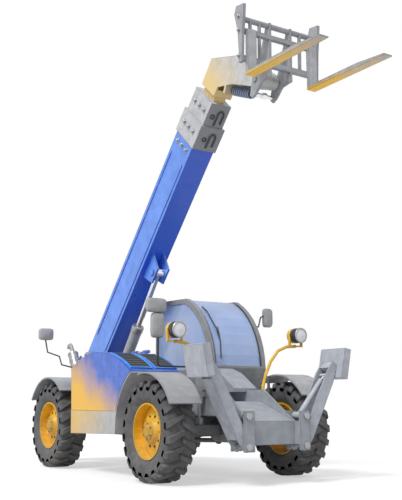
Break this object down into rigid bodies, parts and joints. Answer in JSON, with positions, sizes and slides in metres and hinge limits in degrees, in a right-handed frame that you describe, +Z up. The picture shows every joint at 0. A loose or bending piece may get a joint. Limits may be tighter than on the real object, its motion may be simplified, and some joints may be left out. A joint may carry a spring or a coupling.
{
  "type": "telehandler",
  "caption": "Telescopic handler with a raised telescopic boom, pallet forks, curved glass cab, side engine pod and folded stabiliser legs.",
  "frame": {"origin": "on the ground, under the middle of the whole machine with its boom raised", "axes": "+Z up, front and forks towards -Y, the driver's left towards +X"},
  "size_m": [3.06, 7.0244, 5.7627],
  "materials": {
    "boom_blue": "satin paint",
    "hood_blue": "satin paint",
    "frame_grey": "matt paint",
    "arm_grey": "satin paint",
    "trim_grey": "matt paint",
    "lamp_yellow": "satin paint",
    "rim_yellow": "satin paint",
    "tyre_rubber": "matt",
    "rod_chrome": "polished",
    "barrel_grey": "satin paint",
    "cab_glass": "clear, pale blue",
    "seat_black": "matt",
    "engine_iron": "rough",
    "fork_steel": "worn"
  },
  "bodies": {
    "chassis": {"chassis_frame": "frame_grey", "counterweight": "frame_grey", "engine_tray": "arm_grey", "engine_block": "engine_iron", "exhaust": "barrel_grey", "mirrors_right_front": "trim_grey", "mirror_right_rear": "trim_grey", "mirror_left": "trim_grey", "cab_shell": "trim_grey", "windscreen": "cab_glass", "cab_side_glass": "cab_glass", "cab_rear_glass": "cab_glass", "seat": "seat_black", "steering_column": "seat_black", "lamp_left": "lamp_yellow", "lamp_right": "lamp_yellow", "fuel_tank": "frame_grey", "front_axle": "frame_grey", "rear_axle": "frame_grey", "driveline": "engine_iron", "levelling_cylinder": "barrel_grey"},
    "hood": {"engine_hood": "hood_blue"},
    "door": {"cab_door": "trim_grey", "door_glass": "cab_glass"},
    "boom_1": {"boom_outer": "boom_blue"},
    "boom_2": {"boom_second": "arm_grey"},
    "boom_3": {"boom_third": "arm_grey"},
    "boom_4": {"boom_fourth": "arm_grey", "tilt_barrel": "barrel_grey"},
    "lift_barrel": {"lift_barrel": "barrel_grey"},
    "lift_rod": {"lift_rod": "rod_chrome"},
    "tilt_rod": {"tilt_rod": "rod_chrome"},
    "carriage": {"fork_carriage": "arm_grey", "fork_left": "fork_steel", "fork_right": "fork_steel"},
    "leg_left": {"stabiliser_left": "arm_grey"},
    "leg_barrel_left": {"leg_barrel_left": "barrel_grey"},
    "leg_rod_left": {"leg_rod_left": "rod_chrome"},
    "leg_right": {"stabiliser_right": "arm_grey"},
    "leg_barrel_right": {"leg_barrel_right": "barrel_grey"},
    "leg_rod_right": {"leg_rod_right": "rod_chrome"},
    "steer_front_right": {"knuckle_front_right": "frame_grey", "fender_front_right": "arm_grey"},
    "wheel_front_right": {"tyre_front_right": "tyre_rubber", "rim_front_right": "rim_yellow"},
    "steer_front_left": {"knuckle_front_left": "frame_grey", "fender_front_left": "arm_grey"},
    "wheel_front_left": {"tyre_front_left": "tyre_rubber", "rim_front_left": "rim_yellow"},
    "steer_rear_right": {"knuckle_rear_right": "frame_grey", "fender_rear_right": "arm_grey"},
    "wheel_rear_right": {"tyre_rear_right": "tyre_rubber", "rim_rear_right": "rim_yellow"},
    "steer_rear_left": {"knuckle_rear_left": "frame_grey", "fender_rear_left": "arm_grey"},
    "wheel_rear_left": {"tyre_rear_left": "tyre_rubber", "rim_rear_left": "rim_yellow"}
  },
  "joints": [
    {"name": "steer_front_right", "type": "hinge", "parent": "chassis", "child": "steer_front_right", "pos_m": [-0.66, -0.79279, 0.62107], "axis": [0, 0, 1], "range_deg": [-30, 30]},
    {"name": "roll_front_right", "type": "hinge", "parent": "steer_front_right", "child": "wheel_front_right", "pos_m": [-0.91, -0.79279, 0.62107], "axis": [1, 0, 0], "continuous": true},
    {"name": "steer_front_left", "type": "hinge", "parent": "chassis", "child": "steer_front_left", "pos_m": [0.9, -0.79279, 0.62107], "axis": [0, 0, 1], "range_deg": [-30, 30]},
    {"name": "roll_front_left", "type": "hinge", "parent": "steer_front_left", "child": "wheel_front_left", "pos_m": [1.15, -0.79279, 0.62107], "axis": [1, 0, 0], "continuous": true},
    {"name": "steer_rear_right", "type": "hinge", "parent": "chassis", "child": "steer_rear_right", "pos_m": [-0.66, 2.25721, 0.62107], "axis": [0, 0, 1], "range_deg": [-30, 30]},
    {"name": "roll_rear_right", "type": "hinge", "parent": "steer_rear_right", "child": "wheel_rear_right", "pos_m": [-0.91, 2.25721, 0.62107], "axis": [1, 0, 0], "continuous": true},
    {"name": "steer_rear_left", "type": "hinge", "parent": "chassis", "child": "steer_rear_left", "pos_m": [0.9, 2.25721, 0.62107], "axis": [0, 0, 1], "range_deg": [-30, 30]},
    {"name": "roll_rear_left", "type": "hinge", "parent": "steer_rear_left", "child": "wheel_rear_left", "pos_m": [1.15, 2.25721, 0.62107], "axis": [1, 0, 0], "continuous": true},
    {"name": "hood", "type": "hinge", "parent": "chassis", "child": "hood", "pos_m": [-0.335, 0.73221, 1.67], "axis": [0, 1, 0], "range_deg": [0, 50]},
    {"name": "door", "type": "hinge", "parent": "chassis", "child": "door", "pos_m": [1.24, 1.18221, 1.6], "axis": [0, 0, 1], "range_deg": [0, 85]},
    {"name": "boom_lift", "type": "hinge", "parent": "chassis", "child": "boom_1", "pos_m": [0.02, 2.73221, 1.6], "axis": [-1, 0, 0], "range_deg": [-50, 18]},
    {"name": "boom_extend", "type": "slide", "parent": "boom_1", "child": "boom_2", "axis": [0, -0.682, 0.7314], "range_m": [0, 3.1]},
    {"name": "extend_third", "type": "slide", "parent": "boom_2", "child": "boom_3", "axis": [0, -0.682, 0.7314], "range_m": [0, 3.1]},
    {"name": "extend_fourth", "type": "slide", "parent": "boom_3", "child": "boom_4", "axis": [0, -0.682, 0.7314], "range_m": [0, 3.1]},
    {"name": "lift_barrel", "type": "hinge", "parent": "chassis", "child": "lift_barrel", "pos_m": [0.02, 2.43221, 0.9], "axis": [-1, 0, 0], "range_deg": [-46.5, 17]},
    {"name": "lift_rod", "type": "slide", "parent": "lift_barrel", "child": "lift_rod", "axis": [0, -0.6227, 0.7825], "range_m": [-0.63, 0.23]},
    {"name": "fork_tilt", "type": "hinge", "parent": "boom_4", "child": "carriage", "pos_m": [0.02, -1.86221, 4.97266], "axis": [1, 0, 0], "range_deg": [-58, 45]},
    {"name": "tilt_rod", "type": "slide", "parent": "boom_4", "child": "tilt_rod", "axis": [0, -0.9205, -0.3907], "range_m": [-0.12, 0.155]},
    {"name": "leg_left", "type": "hinge", "parent": "chassis", "child": "leg_left", "pos_m": [0.55, -1.71779, 0.46], "axis": [0, 1, 0], "range_deg": [0, 79]},
    {"name": "leg_barrel_left", "type": "hinge", "parent": "chassis", "child": "leg_barrel_left", "pos_m": [0.55, -1.71779, 0.81], "axis": [0, 1, 0], "range_deg": [0, 83]},
    {"name": "leg_rod_left", "type": "slide", "parent": "leg_barrel_left", "child": "leg_rod_left", "axis": [0.6558, 0, 0.7549], "range_m": [0, 0.443]},
    {"name": "leg_right", "type": "hinge", "parent": "chassis", "child": "leg_right", "pos_m": [-0.31, -1.71779, 0.46], "axis": [0, -1, 0], "range_deg": [0, 79]},
    {"name": "leg_barrel_right", "type": "hinge", "parent": "chassis", "child": "leg_barrel_right", "pos_m": [-0.31, -1.71779, 0.81], "axis": [0, -1, 0], "range_deg": [0, 83]},
    {"name": "leg_rod_right", "type": "slide", "parent": "leg_barrel_right", "child": "leg_rod_right", "axis": [-0.6558, 0, 0.7549], "range_m": [0, 0.443]}
  ],
  "couplings": [
    {"joint": "steer_front_left", "follows": "steer_front_right", "ratio": 1},
    {"joint": "steer_rear_left", "follows": "steer_rear_right", "ratio": 1},
    {"joint": "extend_third", "follows": "boom_extend", "ratio": 1},
    {"joint": "extend_fourth", "follows": "boom_extend", "ratio": 1},
    {"joint": "lift_barrel", "follows": "boom_lift", "ratio": 0.926},
    {"joint": "lift_rod", "follows": "boom_lift", "m_per_rad": 0.712},
    {"joint": "tilt_rod", "follows": "fork_tilt", "m_per_rad": -0.151},
    {"joint": "leg_barrel_left", "follows": "leg_left", "ratio": 1.0483},
    {"joint": "leg_rod_left", "follows": "leg_left", "m_per_rad": 0.3207},
    {"joint": "leg_barrel_right", "follows": "leg_right", "ratio": 1.0483},
    {"joint": "leg_rod_right", "follows": "leg_right", "m_per_rad": 0.3207}
  ]
}
